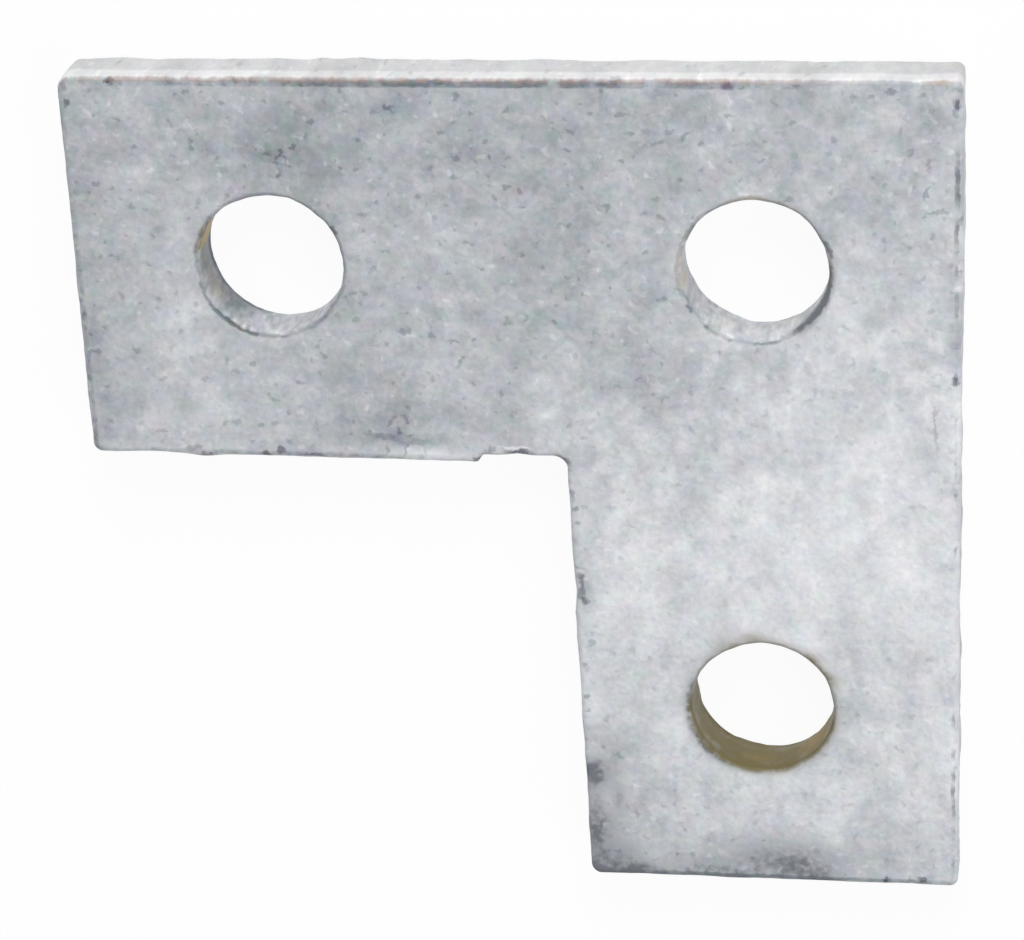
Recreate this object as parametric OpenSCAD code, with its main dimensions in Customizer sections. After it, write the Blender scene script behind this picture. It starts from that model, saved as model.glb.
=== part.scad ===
// Corner brace bracket: one flat L-shaped plate with three punched bolt holes, hot-dip galvanised.
// The plate lies flat with its good face up. The origin is on the axis of the corner hole, at
// half the thickness. One arm runs along +X and the other, called the leg, along +Y.
// The blank was cropped and punched from the good face, so every edge there is rolled over,
// each hole is parallel for a part of its depth and then breaks out wider towards the back,
// and the notch between the arms shows where a second, smaller hit cleared its corner.

/* [Holes] */
// Distance between neighbouring hole centres
hole_pitch = 48; // [42:1:60]
// Diameter of a hole where its wall is parallel
bore_d = 14.5; // [11:0.5:18]
// Radius of the rolled rim of a hole on the front face
rim_roll = 0.45; // [0.2:0.05:0.8]
// How much wider a hole's radius is where it breaks out at the back face
breakout_w = 0.4; // [0.1:0.05:0.8]
// Depth of the conical breakout, measured from the back face
breakout_depth = 2; // [1:0.1:2.5]

/* [Plate] */
// Thickness of the plate
thickness = 6; // [5:0.5:8]
// Distance from the hole centres to the arm's long outer edge
arm_edge_margin = 19.5; // [17:0.5:22]
// Distance from the hole centres to the leg's long outer edge
leg_edge_margin = 20; // [17:0.5:22]
// Distance from the arm's last hole centre to its free end
arm_end_margin = 20; // [15:0.5:28]
// Distance from the leg's last hole centre to its free end
leg_end_margin = 20.5; // [15:0.5:28]
// Width of the arm at its free end
arm_w_end = 40; // [36:0.1:46]
// Width of the arm beside the notch's step
arm_w_root = 40.4; // [36:0.1:46]
// Width of the leg at its free end
leg_w_end = 38; // [36:0.1:46]
// Width of the leg at the notch's corner
leg_w_root = 39.1; // [36:0.1:46]

/* [Notch] */
// Length of the corner hit along the arm, from the leg's edge to the step
arm_hit_l = 8.6; // [5:0.1:16]
// Depth of that hit into the arm
arm_hit_d = 0.6; // [0.3:0.05:1.5]
// Length of the slope from that hit to the arm's own edge
hit_slope = 0.8; // [0.6:0.1:1.2]
// Fillet radius in the notch's inner corner
notch_r = 1.4; // [0.9:0.1:2]

/* [Edges] */
// Radius of the rolled edge all round the front face
edge_roll = 0.5; // [0.2:0.05:0.8]
// Width of the small bevel all round the back face
back_bevel = 0.25; // [0.1:0.05:0.5]
// Plan radius of the cropped corners
corner_r = 0.8; // [0.4:0.1:3]
// Plan radius of the leg's inner free corner, which is worn rounder than the others
foot_corner_r = 1.1; // [0.4:0.1:3]

/* [Hidden] */
$fn = 96;
// A cutter's overshoot past what it cuts
past = 0.5;
// What a rough slab has outside its finished edges
spare = 0.3;
// How far a slab runs on inside its neighbours
sunk = 8;
// Flats that make up a worn corner, or the roll along an edge
flats = 3;

z_front = thickness / 2;
z_back = -thickness / 2;
bore_r = bore_d / 2;

// Lines of the plate's edges: the two long outer edges, the two free ends, and the notch
arm_out = -arm_edge_margin;
leg_out = -leg_edge_margin;
arm_end = hole_pitch + arm_end_margin;
leg_end = hole_pitch + leg_end_margin;
arm_in_end = arm_out + arm_w_end;
arm_in_root = arm_out + arm_w_root;
arm_in_hit = arm_in_root - arm_hit_d;
leg_in_end = leg_out + leg_w_end;
leg_in_root = leg_out + leg_w_root;
arm_step = leg_in_root + arm_hit_l;

// The outline's corners, anticlockwise from the plate's outer corner
outer_corner = [leg_out, arm_out];
arm_outer_tip = [arm_end, arm_out];
arm_inner_tip = [arm_end, arm_in_end];
arm_slope_top = [arm_step + hit_slope, arm_in_root];
arm_slope_foot = [arm_step, arm_in_hit];
notch_corner = [leg_in_root, arm_in_hit];
leg_inner_tip = [leg_in_end, leg_end];
leg_outer_tip = [leg_out, leg_end];

// Centres of the three holes
HOLES = [[0, 0], [hole_pitch, 0], [0, hole_pitch]];

// The direction from a to b, the left of a direction, and the point past b on the line from a
function heading(a, b) = (b - a) / norm(b - a);
function to_left(v) = [-v[1], v[0]];
function beyond(a, b, reach) = b + reach * heading(a, b);
function angle_of(v) = atan2(v[1], v[0]);
function turn_between(a, b) = atan2(cross(a, b), a * b);
function facing(angle) = [cos(angle), sin(angle)];

// The corner that a roll of radius r takes off the front, with the wall at 0 and x the way out
module roll_section(r) {
    difference() {
        translate([-r, z_front - r]) square([r + past, r + past]);
        translate([-r, z_front - r]) circle(r = r);
    }
}

// What finishing an edge takes off: all that lies outside the wall, for a width of clear, with
// the roll on the front edge and the bevel on the back edge
module edge_section(clear) {
    translate([0, z_back - past]) square([clear, thickness + 2 * past]);
    roll_section(edge_roll, $fn = 4 * flats);
    polygon([
        [-back_bevel - past, z_back - past],
        [past, z_back - past],
        [past, z_back + back_bevel + past]
    ]);
}

// The cutter that finishes the edge from a to b, with the plate on its left
module finish_edge(a, b, clear = sunk) {
    length = norm(b - a) + 2 * past;
    translate(beyond(b, a, past)) rotate([0, 0, angle_of(b - a) - 90])
        translate([0, length, 0]) rotate([90, 0, 0])
            linear_extrude(height = length) edge_section(clear);
}

// The cutters that round the convex corner p between a and b with flats round a circle of radius r
module wear_corner(a, p, b, r) {
    turn = turn_between(heading(a, p), heading(p, b));
    reach = r * tan(turn / 2);
    centre = beyond(a, p, -reach) + r * to_left(heading(a, p));
    for (i = [1 : flats]) {
        out = facing(angle_of(heading(a, p)) - 90 + turn * i / (flats + 1));
        touch = centre + r * out;
        finish_edge(touch - reach * to_left(out), touch + reach * to_left(out), r);
    }
}

// A rough slab of the plate's thickness
module rough(corners) {
    linear_extrude(height = thickness, center = true) polygon(corners);
}

// The arm's end of the plate, with its inner edge and the slope down to the corner hit
module arm_slab() {
    slope_end = beyond(arm_slope_top, arm_slope_foot, sunk);
    difference() {
        rough([
            [slope_end[0], arm_out - spare],
            arm_outer_tip + [spare, -spare],
            arm_inner_tip + [spare, spare],
            arm_slope_top + [0, spare],
            slope_end + [0, spare]
        ]);
        finish_edge(arm_inner_tip, arm_slope_top);
        finish_edge(arm_slope_top, slope_end);
    }
}

// The leg's end of the plate, with its inner edge
module leg_slab() {
    edge_end = beyond(leg_inner_tip, notch_corner, sunk);
    difference() {
        rough([
            [leg_out - spare, edge_end[1]],
            edge_end + [spare, 0],
            leg_inner_tip + [spare, spare],
            leg_outer_tip + [-spare, spare]
        ]);
        finish_edge(edge_end, leg_inner_tip);
    }
}

// The plate's corner, with the edge that the corner hit left along the arm
module corner_slab() {
    hit_end = [arm_slope_top[0] + sunk, arm_in_hit];
    difference() {
        rough([
            outer_corner - [spare, spare],
            [hit_end[0], arm_out - spare],
            hit_end + [0, spare],
            [leg_out - spare, arm_in_hit + spare]
        ]);
        finish_edge(hit_end, [leg_out, arm_in_hit]);
    }
}

// The fillet in the notch: slabs with flats that touch a circle of radius notch_r from outside
module notch_fillet() {
    inward = heading(arm_slope_foot, notch_corner);
    turn = turn_between(inward, heading(notch_corner, leg_inner_tip));
    reach = notch_r * tan(-turn / 2);
    centre = beyond(arm_slope_foot, notch_corner, -reach) - notch_r * to_left(inward);
    half = sunk / 2;
    for (i = [1 : flats]) {
        out = facing(angle_of(inward) + 90 + turn * i / (flats + 1));
        along = to_left(out);
        touch = centre + notch_r * out;
        difference() {
            rough([
                touch - spare * out + half * along,
                touch - spare * out - half * along,
                touch + half * out
            ]);
            finish_edge(touch + half * along, touch - half * along);
        }
    }
}

// One punched hole: conical breakout at the back, parallel land, rolled rim at the front
module punched_hole() {
    rotate_extrude() {
        polygon([
            [0, z_back - past],
            [bore_r + breakout_w, z_back - past],
            [bore_r + breakout_w, z_back],
            [bore_r, z_back + breakout_depth],
            [bore_r, z_front + past],
            [0, z_front + past]
        ]);
        translate([bore_r, 0]) mirror([1, 0]) roll_section(rim_roll);
    }
}

module bracket_plate() {
    color([0.74, 0.75, 0.77]) difference() {
        union() {
            arm_slab();
            leg_slab();
            corner_slab();
            notch_fillet();
        }
        finish_edge(outer_corner, arm_outer_tip);
        finish_edge(arm_outer_tip, arm_inner_tip);
        finish_edge(leg_inner_tip, leg_outer_tip);
        finish_edge(leg_outer_tip, outer_corner);
        wear_corner(leg_outer_tip, outer_corner, arm_outer_tip, corner_r);
        wear_corner(outer_corner, arm_outer_tip, arm_inner_tip, corner_r);
        wear_corner(arm_outer_tip, arm_inner_tip, arm_slope_top, corner_r);
        wear_corner(notch_corner, leg_inner_tip, leg_outer_tip, foot_corner_r);
        wear_corner(leg_inner_tip, leg_outer_tip, outer_corner, corner_r);
        for (at = HOLES) translate(at) punched_hole();
    }
}

bracket_plate();
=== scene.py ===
"""The looks of a hot-dip galvanised corner brace bracket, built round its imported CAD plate.

The bracket is one flat L-shaped plate with three punched bolt holes. It lies on its back face, with
the corner hole's axis at the origin, one arm along +X and the other, called the leg, along +Y. Sizes
in this file are in millimetres, and what goes into Blender is in metres.

The plate is one closed surface. Its two faces are spokes from each hole to the outline, its edges and
hole walls are profiles carried round, and an uneven coat of zinc lifts it by about a hundredth of a
millimetre on the faces and up to a tenth on the walls. The finish is worked out from Object
coordinates and from a few numbers kept on the mesh.
"""
import logging
import math
from collections.abc import Mapping, Sequence
from dataclasses import dataclass, field
from enum import Enum
from typing import ClassVar

import bpy
import numpy as np
from mathutils import Matrix, Vector


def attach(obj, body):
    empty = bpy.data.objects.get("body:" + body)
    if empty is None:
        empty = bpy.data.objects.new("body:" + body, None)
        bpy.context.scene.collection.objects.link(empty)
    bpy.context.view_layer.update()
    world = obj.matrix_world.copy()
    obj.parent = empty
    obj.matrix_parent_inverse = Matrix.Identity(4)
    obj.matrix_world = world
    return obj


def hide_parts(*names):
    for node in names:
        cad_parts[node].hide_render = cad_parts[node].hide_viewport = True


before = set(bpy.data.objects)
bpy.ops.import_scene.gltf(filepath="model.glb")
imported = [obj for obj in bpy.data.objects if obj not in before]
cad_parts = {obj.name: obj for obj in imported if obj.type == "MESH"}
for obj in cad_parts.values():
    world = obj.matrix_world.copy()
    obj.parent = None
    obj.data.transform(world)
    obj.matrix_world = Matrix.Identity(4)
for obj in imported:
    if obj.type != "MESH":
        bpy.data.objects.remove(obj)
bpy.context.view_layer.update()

MM = 0.001
FRONT_Z = 3.0
BACK_Z = -3.0
# Where the long outer edges run
ARM_OUT_Y = -19.5
LEG_OUT_X = -20.0
# The run that stands for a place far from any edge or hole
FAR = -9.0
# Points are one where their millimetres agree to this many decimals
SEAM_DIGITS = 6
LOG = logging.getLogger("corner_brace")

Pair = tuple[float, float]
Triple = tuple[float, float, float]
Quad = tuple[float, float, float, float]


def linear(colour: Triple) -> Quad:
    """Turns a colour as a screen shows it into the linear colour that a node takes.

    Args:
        colour: Red, green and blue, each from 0 to 255.

    Returns:
        Red, green, blue and an alpha of 1. Each channel follows the sRGB curve: a twelfth-scale line
        for the darkest values, and a power of 2.4 above them.
    """
    part = np.array(colour) / 255
    bent = np.where(part <= 0.04045, part / 12.92, ((part + 0.055) / 1.055) ** 2.4)
    return (*bent.tolist(), 1.0)


def placed(name: str, data: bpy.types.ID) -> bpy.types.Object:
    """Makes an object and puts it in the scene.

    Args:
        name: The object's name.
        data: The mesh, lamp or camera that it shows.

    Returns:
        The object.
    """
    made = bpy.data.objects.new(name, data)
    bpy.context.scene.collection.objects.link(made)
    return made


class Signal:
    """The output of a node, which arithmetic turns into further nodes."""

    def __init__(self, bench: "NodeBench", socket: bpy.types.NodeSocket) -> None:
        """Keeps the bench that adds nodes and the socket that this signal comes out of."""
        self.bench = bench
        self.socket = socket

    def other(self, output: int | str) -> "Signal":
        """Gives another output of the same node."""
        return Signal(self.bench, self.socket.node.outputs[output])

    def __add__(self, term: "Signal | float") -> "Signal":
        """Adds a signal or a number."""
        return self.bench.maths("ADD", self, term)

    def __radd__(self, term: float) -> "Signal":
        """Adds this signal to a number."""
        return self.bench.maths("ADD", term, self)

    def __sub__(self, term: "Signal | float") -> "Signal":
        """Takes a signal or a number away."""
        return self.bench.maths("SUBTRACT", self, term)

    def __rsub__(self, term: float) -> "Signal":
        """Takes this signal away from a number."""
        return self.bench.maths("SUBTRACT", term, self)

    def __mul__(self, term: "Signal | float") -> "Signal":
        """Multiplies by a signal or a number."""
        return self.bench.maths("MULTIPLY", self, term)

    def __rmul__(self, term: float) -> "Signal":
        """Multiplies a number by this signal."""
        return self.bench.maths("MULTIPLY", term, self)

    def either(self, term: "Signal | float") -> "Signal":
        """Gives the larger of this signal and another."""
        return self.bench.maths("MAXIMUM", self, term)

    def step(self, low: float, high: float) -> "Signal":
        """Rises smoothly from 0 at low to 1 at high, or falls where low is the larger.

        Args:
            low: The value that gives 0.
            high: The value that gives 1.

        Returns:
            A mask from 0 to 1.
        """
        settings = {"interpolation_type": "SMOOTHSTEP"}
        limits = {0: self, 1: low, 2: high, 3: 0.0, 4: 1.0}
        return self.bench.node("ShaderNodeMapRange", settings, limits)

    def band(self, start: float, full: float, fading: float, end: float) -> "Signal":
        """Rises from start to full and falls from fading to end.

        Args:
            start: Where the band begins.
            full: Where it reaches 1.
            fading: Where it leaves 1.
            end: Where it is 0 again.

        Returns:
            A mask from 0 to 1.
        """
        return self.step(start, full) * self.step(end, fading)


Settings = Mapping[str, object]
Inputs = Mapping[int | str, object]


class NodeBench:
    """Adds nodes to one material's or world's tree."""

    def __init__(self, tree: bpy.types.NodeTree) -> None:
        """Clears the tree and keeps it."""
        self.tree = tree
        tree.nodes.clear()

    def node(
        self,
        kind: str,
        settings: Settings | None = None,
        inputs: Inputs | None = None,
        output: int | str = 0,
    ) -> Signal:
        """Adds a node of any type.

        Args:
            kind: The node's type, as bpy names it.
            settings: Its properties, set first. "stops" fills a colour ramp with (place, colour).
            inputs: Signals to link or values to set, by the socket's number or name.
            output: The output to give back, by number or name.

        Returns:
            The chosen output, or for a node without outputs nothing that can be used.
        """
        made = self.tree.nodes.new(kind)
        for name, value in (settings or {}).items():
            if name == "stops":
                self._fill_ramp(made.color_ramp, value)
            else:
                setattr(made, name, value)
        for key, value in (inputs or {}).items():
            if isinstance(value, Signal):
                self.tree.links.new(value.socket, made.inputs[key])
            else:
                made.inputs[key].default_value = value
        return Signal(self, made.outputs[output] if made.outputs else None)

    @staticmethod
    def _fill_ramp(ramp: bpy.types.ColorRamp, stops: Sequence[tuple[float, Triple]]) -> None:
        """Gives a colour ramp its stops.

        Args:
            ramp: The ramp, which starts with two stops.
            stops: The place and the screen colour of each stop, in rising order.
        """
        while len(ramp.elements) < len(stops):
            ramp.elements.new(1.0)
        for element, (place, colour) in zip(ramp.elements, stops):
            element.position = place
            element.color = linear(colour)

    def maths(self, operation: str, first: Signal | float, second: Signal | float) -> Signal:
        """Adds a Math node."""
        return self.node("ShaderNodeMath", {"operation": operation}, {0: first, 1: second})

    def vector(self, operation: str, first: Signal, second: Signal | Sequence[float]) -> Signal:
        """Adds a Vector Math node for two vectors."""
        return self.node("ShaderNodeVectorMath", {"operation": operation}, {0: first, 1: second})

    def scaled(self, first: Signal, factor: Signal | float) -> Signal:
        """Multiplies a vector or colour by a number."""
        return self.node("ShaderNodeVectorMath", {"operation": "SCALE"}, {0: first, 3: factor})

    def tinted(self, under: Signal, colour: Triple, mask: Signal) -> Signal:
        """Lays a colour over another as far as a mask says.

        Args:
            under: The colour below.
            colour: The screen colour on top.
            mask: 0 where nothing is laid, 1 where the colour covers.

        Returns:
            The mixed colour.
        """
        inputs = {0: mask, 6: under, 7: linear(colour)}
        return self.node("ShaderNodeMix", {"data_type": "RGBA"}, inputs, 2)

    def shifted(self, first: Signal, second: Signal, factor: float) -> Signal:
        """Adds a share of a second vector or colour to the first."""
        return self.vector("ADD", first, self.scaled(second, factor))

    def centred(self, colour: Signal) -> Signal:
        """Moves a random colour, whose channels run from 0 to 1, to about 0."""
        return self.vector("SUBTRACT", colour, (0.5, 0.5, 0.5))

    def noise(self, at: Signal, pattern: "Pattern") -> Signal:
        """Adds a noise.

        Args:
            at: The place, in millimetres.
            pattern: The noise's sizes.

        Returns:
            The noise's number, about 0.5 on average.
        """
        inputs = {
            "Vector": at,
            "Scale": 1 / pattern.size,
            "Detail": pattern.detail,
            "Roughness": pattern.rough,
        }
        return self.node("ShaderNodeTexNoise", None, inputs)

    def wander(self, at: Signal, pattern: "Pattern") -> Signal:
        """Gives a noise's colour, moved to about 0, as a random shift."""
        return self.centred(self.noise(at, pattern).other(1))

    def stored(self, trace: "Trace") -> Signal:
        """Reads a number that the mesh carries."""
        return self.node("ShaderNodeAttribute", {"attribute_name": trace.value}, output="Fac")


@dataclass(frozen=True)
class Pattern:
    """A noise: how far apart its patches are in millimetres, and how many and strong its finer layers.

    The weight is how far the noise tells in what it is used for.
    """

    size: float
    detail: float = 2.0
    rough: float = 0.5
    weight: float = 1.0


class BoltHole(Enum):
    """The three bolt holes, by the places of their axes."""

    CORNER = (0.0, 0.0)
    ARM = (48.0, 0.0)
    LEG = (0.0, 48.0)

    @property
    def centre(self) -> np.ndarray:
        """The place of the axis in plan."""
        return np.array(self.value)


class Trace(Enum):
    """The numbers that the mesh carries for its finish, by the names of their attributes."""

    EDGE_RUN = "edge_run"
    HOLE_RUN = "hole_run"
    SHADE = "shade"
    LINE = "line"
    SOOT = "soot"
    OLIVE = "olive"
    OCHRE = "ochre"


@dataclass(frozen=True)
class Spot:
    """A soft spot on the plate's skin, an ellipse that fades out as a Gaussian.

    A stain's strength is how far it tells, a dent's is its depth in millimetres, and less than 0
    for a lump. A mark's edge is crisp instead.
    """

    x: float
    y: float
    along: float
    across: float
    strength: float
    turn: float = 0.0
    z: float = FRONT_Z
    tall: float = 3.0

    def spread(self, points: np.ndarray) -> np.ndarray:
        """Works out the spot's strength at many points.

        Args:
            points: Places, one row each.

        Returns:
            strength times e to the minus of the squared distance from the centre, where the distance
            is counted in the ellipsoid's own radii.
        """
        offset = points - (self.x, self.y, self.z)
        cos, sin = math.cos(math.radians(self.turn)), math.sin(math.radians(self.turn))
        u = (offset[:, 0] * cos + offset[:, 1] * sin) / self.along
        v = (offset[:, 1] * cos - offset[:, 0] * sin) / self.across
        return self.strength * np.exp(-(u**2) - v**2 - (offset[:, 2] / self.tall) ** 2)


@dataclass(frozen=True)
class RimArc:
    """A soft arc of another tone round a hole, at a given run down the hole's section."""

    start: float
    end: float
    run: float
    width: float
    strength: float
    fade: float = 6.0
    reach: ClassVar[float] = 12.0

    def spread(self, hole: BoltHole, points: np.ndarray, hole_run: np.ndarray) -> np.ndarray:
        """Works out the arc's strength at many points.

        Args:
            hole: The hole that the arc goes round.
            points: Places, one row each.
            hole_run: Each place's run down the section of its hole, or a negative run on the face.

        Returns:
            strength times e to the minus of the squared scaled distance from the arc's run, times a
            smooth fade past both of its ends, and 0 beyond its reach, so near any other hole.
        """
        offset = points[:, :2] - hole.centre
        middle, half = (self.start + self.end) / 2, (self.end - self.start) / 2
        turn = (np.degrees(np.arctan2(offset[:, 1], offset[:, 0])) - middle + 180) % 360 - 180
        ends = np.clip((half + self.fade - np.abs(turn)) / self.fade, 0, 1)
        near = np.linalg.norm(offset, axis=1) < self.reach
        level = np.exp(-(((hole_run - self.run) / self.width) ** 2))
        return self.strength * ends**2 * (3 - 2 * ends) * near * level


@dataclass(frozen=True)
class Knot:
    """A corner of the outline, or with no radius a plain point where two cells of the face meet."""

    x: float
    y: float
    radius: float = 0.0


@dataclass
class Outline:
    """The plate's outline, run anticlockwise as stations on straight runs and round arcs."""

    knots: tuple[Knot, ...] = (
        Knot(LEG_OUT_X, ARM_OUT_Y, 0.8),
        Knot(20.5, ARM_OUT_Y),
        Knot(68.0, ARM_OUT_Y, 1.2),
        Knot(68.0, 20.75, 1.0),
        Knot(28.5, 21.1, 0.7),
        Knot(27.7, 20.3, 0.5),
        Knot(19.25, 20.3, 1.4),
        Knot(18.35, 68.5, 1.1),
        Knot(LEG_OUT_X, 68.5, 0.8),
        Knot(LEG_OUT_X, 21.7),
    )
    spacing: float = 0.46
    arc_spacing: float = 0.16
    stations: np.ndarray = field(init=False)
    outward: np.ndarray = field(init=False)
    firsts: list[int] = field(init=False)
    lasts: list[int] = field(init=False)

    def __post_init__(self) -> None:
        """Lays out the stations.

        Each knot with a radius becomes an arc: a centre at one radius inside the two runs, and
        stations at one radius from it, out along the facing direction, as that direction turns from
        the arriving run's to the leaving run's. A run is even steps between two arcs.
        """
        at = np.array([(knot.x, knot.y) for knot in self.knots])
        ahead = np.roll(at, -1, axis=0) - at
        leaving = np.arctan2(ahead[:, 1], ahead[:, 0])
        arriving = np.roll(leaving, 1)
        turn = (leaving - arriving + math.pi) % math.tau - math.pi
        radius = np.array([knot.radius for knot in self.knots])
        reach = radius * np.tan(np.abs(turn) / 2)
        along = np.stack([np.cos(leaving), np.sin(leaving)], axis=1)
        starts = at + reach[:, None] * along
        ends = np.roll(at, -1, axis=0) - np.roll(reach, -1)[:, None] * along
        places, facings, self.firsts, self.lasts = [], [], [], []
        count = 0
        for i in range(len(at)):
            half = math.ceil(abs(turn[i]) * radius[i] / self.arc_spacing / 2)
            heading = arriving[i] + turn[i] * np.linspace(0, 1, 2 * half + 1)
            facing = np.stack([np.sin(heading), -np.cos(heading)], axis=1)
            reach_out = np.sign(turn[i]) * radius[i] * facing
            places.append(ends[i - 1] - reach_out[0] + reach_out)
            facings.append(facing)
            self.firsts.append(count)
            self.lasts.append(count + 2 * half)
            steps = max(1, round(float(np.linalg.norm(ends[i] - starts[i])) / self.spacing))
            part = (np.arange(1, steps) / steps)[:, None]
            places.append(starts[i] + part * (ends[i] - starts[i]))
            facings.append(np.repeat(facing[-1:], steps - 1, axis=0))
            count += 2 * half + steps
        self.stations = np.concatenate(places)
        self.outward = np.concatenate(facings)

    def inset(self, depth: float) -> np.ndarray:
        """The outline moved in by a depth, station by station."""
        return self.stations - depth * self.outward

    def share(self, first: int, last: int) -> np.ndarray:
        """The stations from the end of one knot's arc to the start of another's, both included."""
        stop = self.firsts[last] + (len(self.stations) if last <= first else 0)
        return np.arange(self.lasts[first], stop + 1) % len(self.stations)

    def arc(self, knot: int) -> np.ndarray:
        """The stations of one knot's arc, both ends included."""
        return np.arange(self.firsts[knot], self.lasts[knot] + 1)

    def distance(self, points: np.ndarray) -> np.ndarray:
        """How far points lie from the outline's straight lines.

        Args:
            points: Places in plan, one row each.

        Returns:
            The least, over the outline's runs, of the distance to the nearest place on that run.
        """
        start = np.array([(knot.x, knot.y) for knot in self.knots])
        run = np.roll(start, -1, axis=0) - start
        offset = points[:, None, :] - start[None, :, :]
        part = (offset * run).sum(axis=2) / (run**2).sum(axis=1)
        gap = offset - np.clip(part, 0, 1)[:, :, None] * run
        return np.sqrt((gap**2).sum(axis=2)).min(axis=1)


@dataclass(frozen=True)
class Section:
    """A profile that runs from the front face over a rolled rim, down the wall, to the back face."""

    inset: np.ndarray
    height: np.ndarray
    facing: np.ndarray
    lumps: np.ndarray
    # Rows of points in each part, and how much of the wall's lumps each part has where it starts
    roll_rows: ClassVar[int] = 7
    land_rows: ClassVar[int] = 4
    torn_rows: ClassVar[int] = 7
    tuck_rows: ClassVar[int] = 3
    face_share: ClassVar[float] = 0.15
    land_share: ClassVar[float] = 0.6
    tear_share: ClassVar[float] = 0.7
    back_share: ClassVar[float] = 0.9

    @property
    def run(self) -> np.ndarray:
        """The length of the profile from its start to each of its points."""
        steps = np.hypot(np.diff(self.inset), np.diff(self.height))
        return np.concatenate([[0.0], np.cumsum(steps)])

    @classmethod
    def sheared(
        cls, roll: float, land_end: float, taper: float, bevel: float, wall_lumps: float
    ) -> "Section":
        """Makes the profile that a punch leaves.

        The roll is a quarter circle. Below it the wall is upright as far as the land reaches, then it
        leans in along a straight line to the taper, and a small quarter circle meets the back. The
        coat is thinnest at the faces and most uneven at the foot of the torn part.

        Args:
            roll: The radius of the rolled rim.
            land_end: The height at which the upright land ends and the torn part starts.
            taper: How far in the torn part ends, or out where it is negative.
            bevel: The radius of the rim at the back.
            wall_lumps: How uneven the coat is on the wall.

        Returns:
            The profile, with inset measured into the metal.
        """
        swing = np.radians(np.linspace(0, 90, cls.roll_rows))
        land = np.linspace(FRONT_Z - roll, land_end, cls.land_rows + 1)[1:]
        torn = np.linspace(land_end, BACK_Z + bevel, cls.torn_rows + 1)[1:]
        lean = (land_end - torn) / (land_end - torn[-1])
        tuck = np.radians(np.linspace(0, 90, cls.tuck_rows + 1))[1:]
        inset = [
            roll * (1 - np.sin(swing)),
            np.zeros(len(land)),
            taper * lean,
            taper + bevel * (1 - np.cos(tuck)),
        ]
        height = [
            FRONT_Z - roll * (1 - np.cos(swing)),
            land,
            torn,
            BACK_Z + bevel * (1 - np.sin(tuck)),
        ]
        facing = [math.pi / 2 - swing, np.zeros(len(land) + len(torn)), -tuck]
        lumps = [
            np.linspace(cls.face_share, cls.land_share, len(swing)),
            np.full(len(land), cls.land_share),
            np.linspace(cls.tear_share, 1.0, len(torn)),
            np.linspace(cls.back_share, cls.face_share, len(tuck)),
        ]
        return cls(
            np.concatenate(inset),
            np.concatenate(height),
            np.concatenate(facing),
            wall_lumps * np.concatenate(lumps),
        )


@dataclass
class Patch:
    """A grid of points on the plate's skin, row by row, with what the finish and the coat need."""

    points: np.ndarray
    normals: np.ndarray
    lumps: np.ndarray
    edge_run: np.ndarray
    hole_run: np.ndarray
    columns: int
    flip: bool

    def faces(self, first: int) -> np.ndarray:
        """Joins neighbouring points into four-sided faces, with the last column joined to the first.

        Args:
            first: The number of the patch's first point.

        Returns:
            Four point numbers for each face.
        """
        rows = len(self.points) // self.columns
        row, column = np.meshgrid(np.arange(rows - 1), np.arange(self.columns), indexing="ij")
        following = (column + 1) % self.columns
        ring = [
            row * self.columns + column,
            row * self.columns + following,
            (row + 1) * self.columns + following,
            (row + 1) * self.columns + column,
        ]
        quads = np.stack(ring, axis=-1).reshape(-1, 4) + first
        return quads[:, ::-1] if self.flip else quads


@dataclass(frozen=True)
class ZincCoat:
    """The uneven coat that dipping leaves, as a height above the bare steel."""

    seed: int = 11
    waves: int = 48
    longest: float = 9.0
    shortest: float = 0.9
    falloff: float = 0.7

    def height(self, points: np.ndarray) -> np.ndarray:
        """Works out how the coat rises and dips.

        Args:
            points: Places, one row each.

        Returns:
            A sum of sine waves that cross at all angles, each as high as its length to the power
            of the falloff, scaled to a usual height of 1.
        """
        draw = np.random.default_rng(self.seed)
        length = np.geomspace(self.longest, self.shortest, self.waves)
        direction = draw.normal(size=(self.waves, 3))
        direction /= np.linalg.norm(direction, axis=1, keepdims=True)
        phase = draw.uniform(0, math.tau, self.waves)
        weight = length**self.falloff
        weight /= np.sqrt((weight**2).sum() / 2)
        return np.sin(points @ (direction * math.tau / length[:, None]).T + phase) @ weight


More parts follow.
